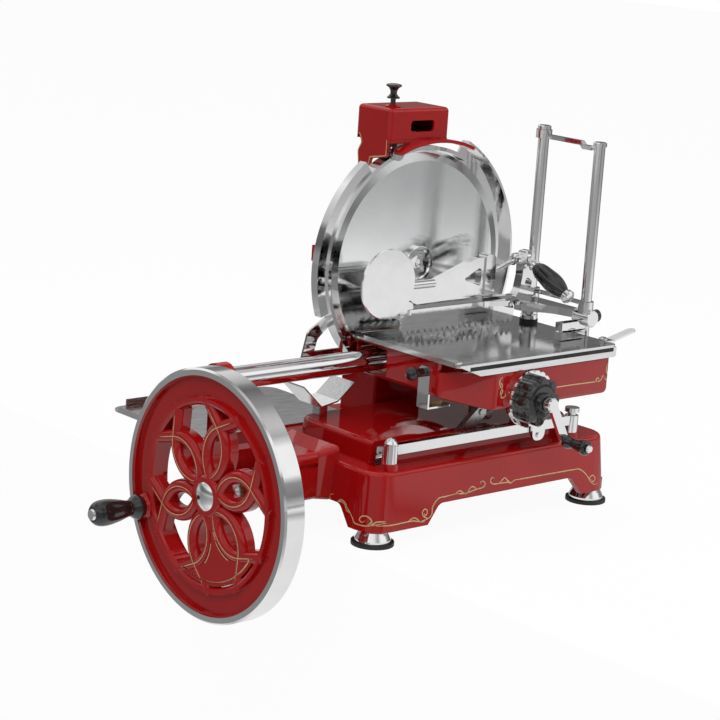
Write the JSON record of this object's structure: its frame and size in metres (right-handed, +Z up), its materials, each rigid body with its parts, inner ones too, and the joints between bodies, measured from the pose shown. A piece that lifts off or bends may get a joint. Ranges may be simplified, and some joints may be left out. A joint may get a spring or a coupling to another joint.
{
  "type": "hand crank meat slicer",
  "caption": "Hand cranked meat slicer: a flywheel turns a round blade while a carriage with a meat press slides past it.",
  "frame": {"origin": "on the plane that the four feet stand on, midway between them", "axes": "+Z up, +X to the right along the carriage travel, +Y back from the operator to the blade"},
  "size_m": [0.622, 0.457, 0.5625],
  "materials": {
    "red_enamel": "deep gloss enamel",
    "chrome": "polished",
    "steel": "machined",
    "blade_steel": "mirror polished",
    "rubber": "matt",
    "ebonite": "gloss",
    "bronze": "machined",
    "sheet": "polished sheet",
    "gold_paint": "thin lines and scrolls on the enamel"
  },
  "bodies": {
    "root": {"base_casting": "red_enamel", "side_arm": "red_enamel", "foot_domes": "chrome", "foot_pads": "rubber", "rail_bar": "chrome", "rail_posts": "chrome", "guide_tube": "chrome", "shaft_bushes": "bronze", "lever_pin": "steel", "drive_chain": "steel", "blade_pedestal": "red_enamel", "blade_guard": "chrome", "guard_shield": "chrome", "slice_deflector": "chrome", "slice_tray": "sheet", "chute": "sheet", "sharpener_cover": "red_enamel", "sharpener_plate": "red_enamel"},
    "flywheel": {"flywheel_casting": "red_enamel", "flywheel_rim": "chrome", "hub_cap": "chrome", "main_shaft": "steel", "drive_gear": "steel", "handle_spindle": "chrome"},
    "wheel_handle": {"wheel_grip": "ebonite"},
    "cross_drive": {"cross_shaft": "steel", "cross_gear": "steel", "crank_disc": "steel", "chain_sprocket": "steel"},
    "lever": {"drive_lever": "steel"},
    "rod": {"connecting_rod": "steel"},
    "blade_set": {"blade": "blade_steel", "blade_hub": "chrome", "blade_arbor": "steel"},
    "carriage_set": {"carriage": "red_enamel", "tube_bushes": "bronze", "carriage_yoke": "steel", "roller_bracket": "chrome", "latch_bracket": "chrome", "feed_ring": "chrome"},
    "roller": {"rail_roller": "steel"},
    "latch": {"table_latch": "ebonite"},
    "thickness": {"thickness_knob": "ebonite"},
    "feed": {"feed_crank": "chrome"},
    "feed_handle": {"feed_grip": "ebonite"},
    "table": {"table_plate": "sheet", "feed_nut": "bronze", "columns": "chrome", "column_collar": "rubber"},
    "tongue": {"tongue_lever": "chrome"},
    "tie_bar": {"top_bar": "chrome"},
    "press": {"press_slide": "chrome", "press_plate": "chrome"},
    "grip": {"grip_lever": "chrome", "egg_grip": "ebonite"},
    "wing": {"wing_screw": "ebonite"},
    "clamp": {"clamp_frame": "chrome", "clamp_disc": "chrome"},
    "sharpener": {"sharpener_knob": "ebonite", "sharpener_stones": "steel"}
  },
  "joints": [
    {"name": "flywheel_spin", "type": "hinge", "parent": "root", "child": "flywheel", "pos_m": [0, -0.036, 0.058], "axis": [1, 0, 0], "continuous": true},
    {"name": "wheel_handle_spin", "type": "hinge", "parent": "flywheel", "child": "wheel_handle", "pos_m": [-0.345, 0.073, 0.01833], "axis": [1, 0, 0], "continuous": true},
    {"name": "cross_spin", "type": "hinge", "parent": "root", "child": "cross_drive", "pos_m": [0.007, 0, 0.058], "axis": [0, 1, 0], "continuous": true},
    {"name": "blade_spin", "type": "hinge", "parent": "root", "child": "blade_set", "pos_m": [0.007, 0.034, 0.272], "axis": [0, 1, 0], "continuous": true},
    {"name": "carriage_slide", "type": "slide", "parent": "root", "child": "carriage_set", "axis": [1, 0, 0], "range_m": [-0.178, 0]},
    {"name": "roller_spin", "type": "hinge", "parent": "carriage_set", "child": "roller", "pos_m": [0.065, -0.12, 0.1201], "axis": [0, 1, 0], "range_deg": [-1200.34, 0]},
    {"name": "lever_swing", "type": "hinge", "parent": "root", "child": "lever", "pos_m": [-0.105, -0.096, 0.042], "axis": [0, 1, 0], "range_deg": [-85.25, 0]},
    {"name": "rod_swing", "type": "hinge", "parent": "lever", "child": "rod", "pos_m": [-0.07217, -0.096, 0.0682], "axis": [0, 1, 0], "range_deg": [0, 85.25]},
    {"name": "latch_pull", "type": "slide", "parent": "carriage_set", "child": "latch", "axis": [-1, 0, 0], "range_m": [0, 0.006]},
    {"name": "thickness_turn", "type": "hinge", "parent": "carriage_set", "child": "thickness", "pos_m": [0.024, -0.146, 0.1495], "axis": [0, -1, 0], "range_deg": [0, 324]},
    {"name": "table_feed", "type": "slide", "parent": "carriage_set", "child": "table", "axis": [0, 1, 0], "range_m": [-0.03, 0]},
    {"name": "feed_turn", "type": "hinge", "parent": "carriage_set", "child": "feed", "pos_m": [0.024, -0.146, 0.1495], "axis": [0, 1, 0], "range_deg": [-1081, 0]},
    {"name": "feed_handle_spin", "type": "hinge", "parent": "feed", "child": "feed_handle", "pos_m": [0.048, -0.146, 0.1055], "axis": [0, 1, 0], "continuous": true},
    {"name": "tongue_swing", "type": "hinge", "parent": "table", "child": "tongue", "pos_m": [0.157, -0.132, 0.198], "axis": [0, 0, 1], "range_deg": [-15, 40]},
    {"name": "tie_bar_swing", "type": "hinge", "parent": "table", "child": "tie_bar", "pos_m": [0.155, -0.012, 0.421], "axis": [0, 0, 1], "range_deg": [0, 95]},
    {"name": "press_slide", "type": "slide", "parent": "table", "child": "press", "axis": [0, 0, 1], "range_m": [0, 0.175]},
    {"name": "grip_swing", "type": "hinge", "parent": "press", "child": "grip", "pos_m": [0.133, -0.02, 0.28], "axis": [-1, 0, 0], "range_deg": [-4, 60]},
    {"name": "wing_turn", "type": "hinge", "parent": "press", "child": "wing", "pos_m": [0.155, -0.102, 0.222], "axis": [1, 0, 0], "range_deg": [0, 360]},
    {"name": "clamp_lift", "type": "hinge", "parent": "press", "child": "clamp", "pos_m": [0.118, -0.02, 0.28], "axis": [0, 1, 0], "range_deg": [0, 20]},
    {"name": "sharpener_press", "type": "slide", "parent": "root", "child": "sharpener", "axis": [0, 0, 1], "range_m": [-0.006, 0]}
  ],
  "couplings": [
    {"joint": "cross_spin", "follows": "flywheel_spin", "ratio": 1},
    {"joint": "blade_spin", "follows": "flywheel_spin", "ratio": 3},
    {"joint": "roller_spin", "follows": "carriage_slide", "rad_per_m": 117.65},
    {"joint": "lever_swing", "follows": "carriage_slide", "rad_per_m": 8.3537},
    {"joint": "rod_swing", "follows": "carriage_slide", "rad_per_m": -8.3537},
    {"joint": "feed_turn", "follows": "table_feed", "rad_per_m": 628.32}
  ]
}
